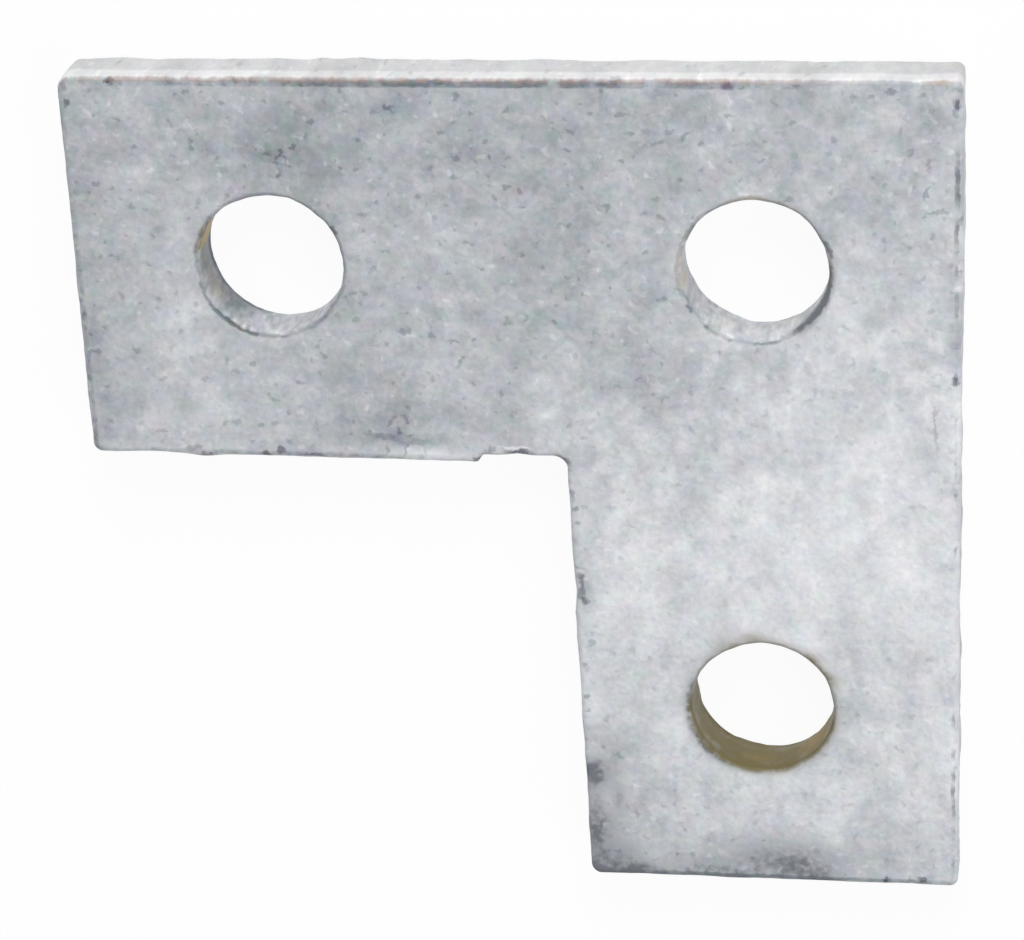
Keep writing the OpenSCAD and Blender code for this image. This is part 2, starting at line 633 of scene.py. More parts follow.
# Dents in the skin, and lumps where the depth is below 0
DENTS = (
    Spot(24.1, 20.1, 1.0, 0.35, 0.30, z=2.9, tall=0.6),
    Spot(28.1, 20.9, 0.6, 0.5, -0.22, z=2.4, tall=1.0),
    Spot(18.6, 35.1, 0.5, 1.3, 0.26, z=2.6, tall=0.9),
    Spot(18.6, 37.8, 0.5, 0.5, -0.10, z=2.6, tall=0.9),
    Spot(18.9, 25.3, 0.5, 1.6, 0.10, z=2.6, tall=0.9),
    Spot(18.1, 41.1, 0.5, 0.5, -0.10, z=2.6, tall=0.9),
    Spot(56.3, 20.9, 1.5, 0.6, -0.24, z=2.4, tall=1.6),
    Spot(62.0, 20.9, 2.6, 0.6, 0.08, z=2.4, tall=1.6),
    Spot(-19.6, -17.1, 0.4, 0.5, 0.14, z=2.9, tall=0.5),
    Spot(-19.6, 11.2, 0.4, 0.4, 0.16, z=2.9, tall=0.5),
    Spot(-20.0, 8.5, 0.6, 1.4, -0.12, z=-2.0, tall=1.2),
    Spot(-20.0, 27.5, 0.6, 1.8, -0.10, z=-2.0, tall=1.2),
    Spot(-20.0, 43.5, 0.6, 1.5, -0.12, z=-1.8, tall=1.4),
    Spot(-20.0, 52.5, 0.6, 1.2, -0.10, z=-1.8, tall=1.4),
    Spot(67.6, -19.1, 0.6, 0.6, 0.12, z=2.6, tall=1.4),
    Spot(13.1, -19.5, 0.5, 0.4, 0.15, z=2.7, tall=0.4),
    Spot(1.5, -19.5, 2.2, 0.6, 0.08, z=-0.6, tall=0.5),
    Spot(42.5, -19.5, 0.9, 0.6, -0.16, z=-2.8, tall=0.5),
    Spot(38.5, -19.5, 1.4, 0.6, -0.16, z=-2.8, tall=0.5),
    Spot(55.0, 3.4, 2.2, 2.6, 0.32, z=2.2, tall=1.2),
    Spot(-20.0, -7.0, 1.5, 11.0, -0.16, z=0.0, tall=6.0),
    Spot(-20.0, 38.0, 1.5, 20.0, 0.10, z=0.0, tall=6.0),
)

# Bits of the dark line on the arm's outer edge: each one's x, reach and strength
ARM_OUT_BITS = (
    (62.7, 0.35, 0.9), (56.8, 0.7, 0.4), (43.0, 1.6, 0.2), (34.0, 1.6, 0.3),
    (31.0, 1.2, 0.45), (27.5, 1.6, 0.35), (22.5, 3.0, 0.55), (19.1, 0.45, -1.2),
    (17.0, 1.6, 0.3), (13.2, 0.6, 0.6), (9.7, 0.5, -0.9), (5.5, 2.2, 0.5),
    (2.2, 0.6, 0.8), (-17.5, 0.9, 0.35),
)

# The same on the leg's outer edge, by y
LEG_OUT_BITS = (
    (-17.1, 0.55, 1.5), (-12.2, 0.5, 0.6), (-10.0, 1.2, 1.3), (-7.9, 0.9, 1.0),
    (-4.3, 1.3, 1.1), (-2.3, 0.5, 0.5), (-0.4, 0.9, 0.8), (2.4, 0.6, 0.6),
    (4.0, 0.8, 0.9), (7.6, 0.5, 0.4), (11.2, 0.5, 1.7), (15.4, 0.5, 0.4),
    (20.0, 3.0, 0.3), (23.6, 0.5, 0.6), (29.6, 0.5, 0.5), (43.9, 0.5, 0.6),
    (48.8, 0.7, 0.8), (52.9, 0.5, 1.0), (55.3, 0.6, 1.0), (57.2, 0.9, 1.2),
    (59.4, 0.9, 1.0), (62.0, 0.8, 0.5), (65.5, 1.5, 0.5),
)

# What each stored number is made of. A shade above 0 is lighter, and a line below 0 is a gap.
STAINS: dict[Trace, tuple[Spot, ...]] = {
    Trace.SHADE: (
        # Lighter towards the corner and the leg: partly the zinc's uneven tone, partly painted light
        # for the lamps' fall-off across the face
        Spot(-6.0, 34.0, 40.0, 40.0, 0.135),
        Spot(61.0, 17.5, 6.0, 4.0, 0.045),
        Spot(55.5, 2.0, 4.5, 8.0, 0.09),
        Spot(58.0, 14.0, 8.0, 5.0, 0.03),
        Spot(12.0, -7.0, 15.0, 13.0, -0.055),
        Spot(8.5, 12.5, 7.0, 5.5, -0.06),
        Spot(23.0, 7.0, 12.0, 4.5, -0.028),
        Spot(0.0, 10.0, 5.0, 2.5, -0.03),
        Spot(24.0, -8.5, 4.0, 3.5, -0.02),
        Spot(10.5, 11.8, 3.5, 0.7, -0.03, turn=15.0),
        Spot(4.7, 9.6, 1.9, 1.9, -0.03),
        Spot(4.7, 9.6, 0.9, 0.9, 0.055),
        Spot(46.5, -11.3, 2.8, 1.6, -0.05),
        Spot(47.0, -10.5, 8.0, 3.0, -0.02),
        Spot(35.5, -16.4, 1.6, 1.0, -0.05),
        Spot(-9.5, 48.0, 3.0, 6.0, -0.06),
        Spot(17.0, 28.0, 3.0, 6.0, -0.022),
        Spot(-19.5, 7.0, 0.8, 4.0, -0.09),
        Spot(24.5, -14.0, 5.0, 5.0, -0.03),
        Spot(8.0, 24.0, 5.0, 4.0, -0.03),
        Spot(43.5, -12.0, 8.0, 5.0, -0.075),
        Spot(33.0, -17.0, 6.0, 3.0, -0.03),
        Spot(36.5, 16.4, 6.0, 3.5, -0.085),
        Spot(20.0, -2.0, 7.0, 6.0, -0.035),
        Spot(25.0, 14.0, 5.0, 5.0, -0.02),
        Spot(34.0, 20.4, 6.5, 0.9, 0.12),
        Spot(36.3, 18.5, 3.6, 0.5, -0.09),
        Spot(-17.9, -15.5, 2.1, 0.75, -0.075, turn=140.0),
        Spot(-17.3, -13.5, 1.5, 0.55, -0.07, turn=140.0),
        Spot(-18.9, -12.4, 1.6, 0.35, 0.06, turn=140.0),
        Spot(66.5, 8.0, 1.2, 9.0, -0.05),
        Spot(66.0, 16.0, 1.2, 2.5, -0.035),
        Spot(15.4, 22.4, 0.8, 0.8, -0.04),
        Spot(17.5, 58.0, 5.0, 7.0, -0.05),
        Spot(2.0, 66.0, 16.0, 4.0, -0.05),
        # Darker in the nick on the leg's inner edge: painted shade
        Spot(18.0, 35.0, 0.9, 1.6, -0.10),
        Spot(-1.5, 40.4, 6.0, 1.6, 0.03),
    ),
    Trace.LINE: (
        # The line along the arm's long outer side is dirt. The lines along the foot, the arm's inner
        # edge and the arm's end darken rolled rims that face away from the lamps: painted shade.
        Spot(30.0, -19.5, 30.0, 1.5, 0.95),
        Spot(0.0, 68.5, 24.0, 1.5, 1.10),
        Spot(48.0, 20.9, 24.0, 1.0, 0.65),
        Spot(68.0, 6.0, 1.5, 18.0, 0.45),
        Spot(68.0, 18.5, 1.5, 2.5, 0.40),
        *(Spot(x, ARM_OUT_Y, reach, 1.5, weight) for x, reach, weight in ARM_OUT_BITS),
        *(Spot(LEG_OUT_X, y, 1.5, reach, weight) for y, reach, weight in LEG_OUT_BITS),
    ),
    Trace.SOOT: (
        Spot(1.5, 67.4, 6.0, 2.0, 0.40),
        Spot(2.6, 68.4, 1.6, 0.8, 0.45),
        Spot(-5.6, 68.4, 2.2, 0.8, 0.40),
        Spot(-5.0, 67.2, 3.0, 2.4, 0.42),
        Spot(6.6, 68.0, 3.2, 1.4, 0.40),
        Spot(-2.0, 65.2, 6.0, 2.2, 0.28),
        Spot(15.0, 68.2, 4.4, 1.0, 1.00),
        Spot(15.4, 66.4, 2.8, 2.4, 0.40),
        Spot(17.5, 56.2, 1.5, 1.4, 0.95),
        Spot(17.6, 59.6, 0.9, 2.6, 0.42),
        Spot(17.2, 62.6, 1.3, 1.6, 0.70),
        Spot(15.2, 59.2, 0.9, 2.0, 0.36),
        Spot(17.6, 65.4, 1.2, 2.4, 0.40),
    ),
    Trace.OLIVE: (
        Spot(4.2, 40.5, 1.6, 1.0, 0.24),
        Spot(0.9, 39.8, 1.6, 0.7, 0.24),
        Spot(-5.5, 42.2, 1.6, 0.9, 0.14, turn=45.0),
        Spot(-7.4, 44.6, 1.4, 1.2, 0.20),
    ),
    Trace.OCHRE: (
        Spot(28.4, 20.3, 1.8, 0.5, 0.40),
        Spot(-18.3, -19.5, 1.0, 0.5, 0.50, tall=0.4),
    ),
}

# The same round the holes. Angles are in degrees from +X towards +Y.
RIM_STAINS: dict[Trace, dict[BoltHole, tuple[RimArc, ...]]] = {
    Trace.SHADE: {
        BoltHole.CORNER: (
            RimArc(-10.0, 110.0, 3.2, 3.0, 0.06, 20.0),
        ),
        BoltHole.ARM: (
            RimArc(-30.0, 48.0, 3.2, 2.8, -0.19, 30.0),
            RimArc(140.0, 165.0, -0.6, 0.8, -0.04, 10.0),
        ),
        BoltHole.LEG: (
            RimArc(-40.0, 180.0, 3.2, 3.4, -0.06, 20.0),
        ),
    },
    Trace.LINE: {
        BoltHole.CORNER: (
            RimArc(29.0, 34.0, -0.1, 0.5, 0.9, 3.0),
            RimArc(51.0, 60.0, -0.1, 0.5, 0.6, 4.0),
            RimArc(72.0, 84.0, 0.1, 0.5, 0.4),
            RimArc(92.0, 108.0, 0.1, 0.4, 0.5),
            RimArc(193.0, 204.0, 0.1, 0.5, 0.9, 4.0),
        ),
        BoltHole.ARM: (
            RimArc(18.0, 36.0, -0.25, 0.6, 0.9),
            RimArc(42.0, 52.0, 0.1, 0.5, 1.2),
            RimArc(57.0, 72.0, 0.1, 0.5, 1.1),
            RimArc(76.0, 100.0, 0.0, 0.4, 0.5),
            RimArc(120.0, 134.0, 0.0, 0.5, 0.5),
            RimArc(207.0, 212.0, -0.1, 0.5, 1.3, 2.5),
            RimArc(-40.0, -10.0, 0.3, 0.5, 0.7),
        ),
    },
    Trace.SOOT: {
        BoltHole.CORNER: (
            # The dark sliver on the corner hole's rolled rim, on its side turned from the lamps, and
            # the wall below it: painted shade
            RimArc(128.0, 178.0, 0.42, 0.42, 1.2, 14.0),
            RimArc(134.0, 166.0, 1.6, 1.0, 0.5, 12.0),
        ),
        BoltHole.ARM: (
            RimArc(-5.0, 75.0, 6.1, 0.9, 1.0),
            RimArc(-8.0, 4.0, 2.2, 0.8, 0.5),
        ),
        BoltHole.LEG: (
            # A soft dark band just outside the leg hole's rim on its +X side: painted shade
            RimArc(-14.0, 40.0, 0.1, 0.45, 0.62, 16.0),
            RimArc(36.0, 60.0, 0.1, 0.4, 0.5, 10.0),
            RimArc(20.0, 110.0, 5.8, 0.6, 0.55, 10.0),
        ),
    },
    Trace.OLIVE: {
        BoltHole.CORNER: (
            RimArc(-38.0, -28.0, 0.3, 0.5, 0.4, 6.0),
        ),
        BoltHole.ARM: (
            RimArc(-40.0, -14.0, 0.9, 0.7, 0.7),
        ),
        BoltHole.LEG: (
            RimArc(-180.0, 180.0, 4.0, 3.2, 1.55),
            RimArc(0.0, 165.0, 0.7, 0.6, 0.6, 15.0),
            RimArc(-150.0, -45.0, 0.0, 0.5, 0.16, 10.0),
        ),
    },
    Trace.OCHRE: {
        BoltHole.CORNER: (
            RimArc(20.0, 130.0, 3.5, 3.0, 0.26, 20.0),
            RimArc(172.0, 192.0, 0.4, 0.8, 0.35, 8.0),
            RimArc(-16.0, 12.0, 1.8, 2.6, 0.42, 10.0),
            RimArc(238.0, 288.0, 0.2, 0.4, 0.4, 10.0),
        ),
        BoltHole.ARM: (
            RimArc(-36.0, -16.0, 3.0, 2.8, 0.85, 12.0),
            RimArc(-16.0, 30.0, 3.0, 2.6, 0.34, 20.0),
        ),
        BoltHole.LEG: (
            RimArc(125.0, 165.0, 3.5, 3.0, 0.55, 14.0),
            RimArc(75.0, 95.0, 2.5, 1.0, 0.35, 10.0),
        ),
    },
}


@dataclass
class CornerPlate:
    """The bracket's one piece: outline, faces, rolled edges, three punched holes and zinc coat."""

    outline: Outline = field(default_factory=Outline)
    edge: Section = field(
        default_factory=lambda: Section.sheared(
            roll=0.5, land_end=0.9, taper=0.05, bevel=0.2, wall_lumps=0.05
        )
    )
    hole: Section = field(
        default_factory=lambda: Section.sheared(
            roll=0.45, land_end=-1.0, taper=0.4, bevel=0.1, wall_lumps=0.08
        )
    )
    coat: ZincCoat = field(default_factory=ZincCoat)
    bore_radius: float = 7.25
    die_shift: Pair = (-0.38, 0.02)
    front_rows: int = 30
    back_rows: int = 8
    face_lumps: float = 0.012
    divider_length: float = 39.8
    notch: int = 6
    arm_foot: int = 1
    leg_foot: int = 9

    def build(self) -> bpy.types.Object:
        """Makes the plate's mesh object, closed and facing outwards, with its numbers stored on it.

        Returns:
            The object, at the origin, with its place in its mesh.
        """
        patches = [self._edge_patch(), *self._face_patches(front=True)]
        patches += [*self._face_patches(front=False), *self._hole_patches()]
        points, normals, traces, lumps, quads = self._joined(patches)
        push = sum(dent.spread(points) for dent in DENTS)
        skin = points + normals * (lumps * self.coat.height(points) - push)[:, None]
        mesh = bpy.data.meshes.new("zinc_plate")
        mesh.from_pydata(skin * MM, [], quads)
        mesh.polygons.foreach_set("use_smooth", np.ones(len(quads), dtype=bool))
        for trace, values in traces.items():
            store = mesh.attributes.new(trace.value, "FLOAT", "POINT")
            store.data.foreach_set("value", values.astype(np.float32))
        mesh.update()
        return placed("zinc_plate", mesh)

    def _edge_patch(self) -> Patch:
        """Carries the edge's section round the outline: each row is the outline moved in and down.

        Returns:
            The ribbon from the front face's rim to the back face's.
        """
        rings = [
            np.column_stack([self.outline.inset(inset), np.full(len(self.outline.stations), high)])
            for inset, high in zip(self.edge.inset, self.edge.height)
        ]
        return self._ribbon(np.concatenate(rings), self.outline.outward, self.edge, True)

    def _ribbon(
        self, points: np.ndarray, outward: np.ndarray, section: Section, is_edge: bool
    ) -> Patch:
        """Completes a ribbon of rows that all have the same columns.

        Args:
            points: The ribbon's points, row by row.
            outward: The way out of the metal at each column, in plan.
            section: The profile that the rows follow.
            is_edge: True for the plate's edge and False for a hole's wall.

        Returns:
            The patch. A point's normal is the way out times the cosine of the section's facing
            angle, and up times its sine.
        """
        columns = len(outward)
        across = np.cos(section.facing)[:, None, None] * outward[None, :, :]
        up = np.broadcast_to(np.sin(section.facing)[:, None, None], (*across.shape[:2], 1))
        run = np.repeat(section.run, columns)
        far = np.full(len(points), FAR)
        return Patch(
            points=points,
            normals=np.concatenate([across, up], axis=2).reshape(-1, 3),
            lumps=np.repeat(section.lumps, columns),
            edge_run=run if is_edge else far,
            hole_run=far if is_edge else run,
            columns=columns,
            flip=is_edge,
        )

    def _loops(self, front: bool) -> list[tuple[BoltHole, np.ndarray]]:
        """Splits the face into a cell round each hole.

        Two straight dividers start at the ends of the notch's fillet: one runs to the arm's outer
        edge and one to the leg's, and the fillet itself belongs to the corner hole's cell. Each
        cell's loop is its share of the outline and its dividers.

        Args:
            front: True for the front face and False for the back.

        Returns:
            Each hole with its cell's loop, anticlockwise.
        """
        at_row = 0 if front else -1
        ring = self.outline.inset(self.edge.inset[at_row])
        fillet = ring[self.outline.arc(self.notch)]

        def divider(start: np.ndarray, end: np.ndarray) -> np.ndarray:
            """Lays even steps between two points.

            Args:
                start: The first point.
                end: The last point.

            Returns:
                The points on the straight line between them, without either.
            """
            steps = round(self.divider_length / self.outline.spacing)
            part = (np.arange(1, steps) / steps)[:, None]
            return start + part * (end - start)

        to_notch = divider(ring[self.outline.firsts[self.arm_foot]], fillet[0])
        from_notch = divider(fillet[-1], ring[self.outline.firsts[self.leg_foot]])
        corner = [ring[self.outline.share(self.leg_foot, self.arm_foot)], to_notch, fillet]
        arm = [ring[self.outline.share(self.arm_foot, self.notch)], to_notch[::-1]]
        leg = [ring[self.outline.share(self.notch, self.leg_foot)], from_notch[::-1]]
        return [
            (BoltHole.CORNER, np.concatenate([*corner, from_notch])),
            (BoltHole.ARM, np.concatenate(arm)),
            (BoltHole.LEG, np.concatenate(leg)),
        ]

    def _spoke_directions(self) -> dict[BoltHole, np.ndarray]:
        """Points each hole's spokes.

        Returns:
            The direction from each hole's axis to each point of its cell's front loop.
        """
        found = {}
        for hole, loop in self._loops(front=True):
            offset = loop - hole.centre
            found[hole] = offset / np.linalg.norm(offset, axis=1, keepdims=True)
        return found

    def _rim(self, hole: BoltHole, row: int) -> np.ndarray:
        """The ring of a hole's wall at one row of its section, in plan.

        Args:
            hole: The hole.
            row: The row of the hole's section.

        Returns:
            A circle of the bore's radius and the row's inset. Below the land its middle moves off
            the axis, by the die's shift at the back face and in proportion to the inset above it.
        """
        inset = self.hole.inset[row]
        torn = inset / self.hole.inset[-1] if self.hole.height[row] < 0 else 0.0
        centre = hole.centre + torn * np.array(self.die_shift)
        return centre + (self.bore_radius + inset) * self._spoke_directions()[hole]

    def _face_patches(self, front: bool) -> list[Patch]:
        """Fills one face with spokes, each a straight line from a hole's rim to its cell's loop.

        Args:
            front: True for the front face and False for the back.

        Returns:
            One patch for each hole's cell.
        """
        patches = []
        rows = self.front_rows if front else self.back_rows
        part = np.linspace(0, 1, rows + 1)[:, None, None]
        level = FRONT_Z if front else BACK_Z
        for hole, loop in self._loops(front):
            rim = self._rim(hole, 0 if front else -1)
            plan = (rim[None] * (1 - part) + loop[None] * part).reshape(-1, 2)
            points = np.column_stack([plan, np.full(len(plan), level)])
            gap = np.min(
                [np.linalg.norm(plan - other.centre, axis=1) for other in BoltHole], axis=0
            )
            rim_radius = self.bore_radius + self.hole.inset[0]
            edge_run = self.edge.inset[0] - self.outline.distance(plan)
            patches.append(
                Patch(
                    points=points,
                    normals=np.tile([0.0, 0.0, 1.0 if front else -1.0], (len(plan), 1)),
                    lumps=np.full(len(plan), self.face_lumps),
                    edge_run=edge_run if front else np.full(len(plan), self.edge.run[-1]),
                    hole_run=rim_radius - gap if front else np.full(len(plan), FAR),
                    columns=len(loop),
                    flip=front,
                )
            )
        return patches

    def _hole_patches(self) -> list[Patch]:
        """Carries the hole's section round each axis, with a column on each spoke of its cell.

        Returns:
            One ribbon for each hole.
        """
        patches = []
        for hole, direction in self._spoke_directions().items():
            rings = [
                np.column_stack([self._rim(hole, row), np.full(len(direction), high)])
                for row, high in enumerate(self.hole.height)
            ]
            patches.append(self._ribbon(np.concatenate(rings), -direction, self.hole, False))
        return patches

    @staticmethod
    def _joined(
        patches: Sequence[Patch],
    ) -> tuple[np.ndarray, np.ndarray, dict[Trace, np.ndarray], np.ndarray, np.ndarray]:
        """Sews the patches into one surface by merging the points that they share.

        Args:
            patches: All the plate's patches.

        Returns:
            The points, their normals, the numbers to store, the coat's weight and the faces. Where
            points merge, each number and the normal is the mean of theirs.
        """
        points = np.concatenate([patch.points for patch in patches])
        _, kept, place = np.unique(
            np.round(points, SEAM_DIGITS), axis=0, return_index=True, return_inverse=True
        )
        place = place.reshape(-1)
        shared = np.bincount(place)

        def mean(values: np.ndarray) -> np.ndarray:
            """The mean of one number over the points that merge."""
            return np.bincount(place, weights=values) / shared

        normals = np.concatenate([patch.normals for patch in patches])
        normals = np.column_stack([mean(normals[:, axis]) for axis in range(3)])
        normals /= np.linalg.norm(normals, axis=1, keepdims=True)
        merged = points[kept]
        traces = {
            Trace.EDGE_RUN: mean(np.concatenate([patch.edge_run for patch in patches])),
            Trace.HOLE_RUN: mean(np.concatenate([patch.hole_run for patch in patches])),
        }
        for kind, spots in STAINS.items():
            arcs = ((hole, arc) for hole, own in RIM_STAINS[kind].items() for arc in own)
            round_holes = sum(arc.spread(at, merged, traces[Trace.HOLE_RUN]) for at, arc in arcs)
            traces[kind] = sum(spot.spread(merged) for spot in spots) + round_holes
        firsts = np.cumsum([0, *(len(patch.points) for patch in patches[:-1])])
        quads = place[np.concatenate([patch.faces(int(i)) for patch, i in zip(patches, firsts)])]
        lumps = mean(np.concatenate([patch.lumps for patch in patches]))
        return merged, normals, traces, lumps, quads


# Small crisp marks on the front, dark, or lighter where the strength is below 0. Those at the dent on
# the arm's inner edge and in the nick on the leg's inner edge are painted shade and a painted
# highlight.
MARKS = (
    # In the dent on the arm's inner edge painted shade, and beside it on the face a painted highlight
    Spot(24.1, 19.85, 1.1, 0.28, 1.1),
    Spot(24.3, 19.35, 1.3, 0.22, -0.5),
    Spot(28.0, 20.6, 0.6, 0.45, 1.2),
    Spot(26.9, 19.7, 0.7, 0.3, 0.5, 15.0),
    Spot(19.6, 20.6, 0.8, 0.35, 0.9, 135.0),
    Spot(18.8, 24.4, 0.3, 0.6, 0.5),
    Spot(18.5, 26.0, 0.3, 0.3, 0.6),
    Spot(18.4, 27.5, 0.35, 0.25, 0.45),
    # Dark marks in the nick on the leg's inner edge: painted shade
    Spot(18.2, 34.8, 0.28, 1.1, 0.7),
    Spot(18.0, 36.2, 0.4, 0.35, 0.9),
    Spot(18.3, 33.6, 0.35, 0.3, 0.6),
    Spot(17.5, 41.1, 0.4, 0.35, 0.5),
    Spot(18.2, 43.7, 0.25, 0.3, 0.5),
    Spot(18.1, 47.2, 0.25, 0.3, 0.5),
    Spot(18.0, 49.0, 0.25, 0.3, 0.4),
    Spot(35.5, 19.9, 0.22, 0.7, 0.45, -15.0),
    Spot(37.4, 19.9, 0.18, 0.6, 0.35),
    Spot(33.6, 19.8, 0.18, 0.6, 0.35, 8.0),
    Spot(38.0, 18.3, 1.6, 0.3, 0.35, -8.0),
    Spot(34.6, 18.9, 1.4, 0.3, 0.30, 6.0),
    Spot(-19.45, -17.1, 0.28, 0.5, 0.4),
    Spot(-19.4, 11.2, 0.38, 0.38, 0.6),
    Spot(-17.8, 11.9, 0.5, 0.25, 0.3),
    Spot(67.3, -16.8, 0.28, 0.42, 0.9),
    Spot(67.4, -18.6, 0.3, 0.5, 0.5),
    Spot(62.7, -19.0, 0.4, 0.25, 0.8),
    Spot(65.3, -15.9, 0.9, 0.12, -0.25, 145.0),
    Spot(-13.2, -18.4, 0.5, 0.3, 0.5),
    Spot(13.1, -19.3, 0.5, 0.35, 0.7),
    Spot(2.2, -18.8, 0.5, 0.3, 0.5),
    Spot(47.3, -11.7, 0.5, 0.25, 0.5),
    Spot(46.2, -11.9, 0.3, 0.28, 0.7),
    Spot(46.8, -10.9, 0.25, 0.22, 0.4),
    Spot(35.3, -16.6, 0.55, 0.25, 0.7),
    Spot(36.6, -16.1, 0.3, 0.25, 0.4),
    Spot(-17.5, 16.2, 0.14, 2.4, 0.35, 4.0),
    Spot(-12.7, 67.9, 0.35, 0.35, 1.0),
    Spot(-16.4, 67.8, 0.45, 0.3, 1.0),
    Spot(-17.6, -6.3, 1.0, 0.14, 0.45, 8.0),
    Spot(-16.6, -8.2, 0.2, 0.7, 0.5, -25.0),
    Spot(-16.7, -11.2, 0.2, 0.6, 0.4),
    Spot(-15.0, -12.2, 0.3, 0.3, 0.35),
    Spot(-16.0, 0.6, 0.5, 0.25, 0.3, 30.0),
    Spot(60.5, 18.3, 0.5, 0.2, 0.3),
    Spot(52.6, 17.0, 0.5, 0.2, 0.3),
    Spot(48.3, 20.0, 0.5, 0.3, 1.0),
    Spot(49.8, 20.6, 0.4, 0.3, 0.9),
    Spot(44.6, 20.7, 0.5, 0.25, 0.5),
    Spot(57.2, 20.0, 0.9, 0.3, 0.5, 12.0),
    Spot(55.9, 20.7, 0.6, 0.25, 0.7),
)


@dataclass(frozen=True)
class Skin:
    """The signals that the zinc's finish is mixed from, and the bench that they are on.

    ragged is the place shifted at random, which tears the rims of what is drawn there, and jagged
    is shifted more. cell is a random tint for each small flake, and flake its first channel. shade,
    cloud, blotch, grain, flake and specks are numbers about 0, and torn runs from 0 to 1. edge and
    bore are the uneven runs down the plate's edge and down a hole, and wall is 1 on the plate's
    edge. top is 1 on the arm's long outer side and side on the leg's.
    """

    bench: NodeBench
    ragged: Signal
    jagged: Signal
    cell: Signal
    shade: Signal
    cloud: Signal
    blotch: Signal
    grain: Signal
    flake: Signal
    specks: Signal
    torn: Signal
    edge: Signal
    bore: Signal
    wall: Signal
    top: Signal
    side: Signal


@dataclass(frozen=True)
class Deposit:
    """Dirt, rust and, for the soot, painted rim shade, laid where one of the plate's stains is, torn
    up by the zinc's mottling.
    """

    trace: Trace
    colour: Triple
    base: float
    blotch: float
    grain: float
    clear: float
    full: float
    flake: float = 0.0
    cover: float = 1.0

    def amount(self, skin: Skin) -> Signal:
        """How much lies at each place.

        Args:
            skin: The finish's signals.

        Returns:
            The stain's stored strength, times a base with shares of the mottling added.
        """
        uneven = self.base + skin.blotch * self.blotch + skin.grain * self.grain
        if self.flake:
            uneven = uneven + skin.flake * self.flake
        return skin.bench.stored(self.trace) * uneven

    def laid(self, under: Signal, amount: Signal) -> Signal:
        """Tints a colour with the deposit.

        Args:
            under: The colour below.
            amount: How much lies at each place.

        Returns:
            The colour, tinted from where the amount is clear to where it is full.
        """
        mask = amount.step(self.clear, self.full) * self.cover
        return under.bench.tinted(under, self.colour, mask)


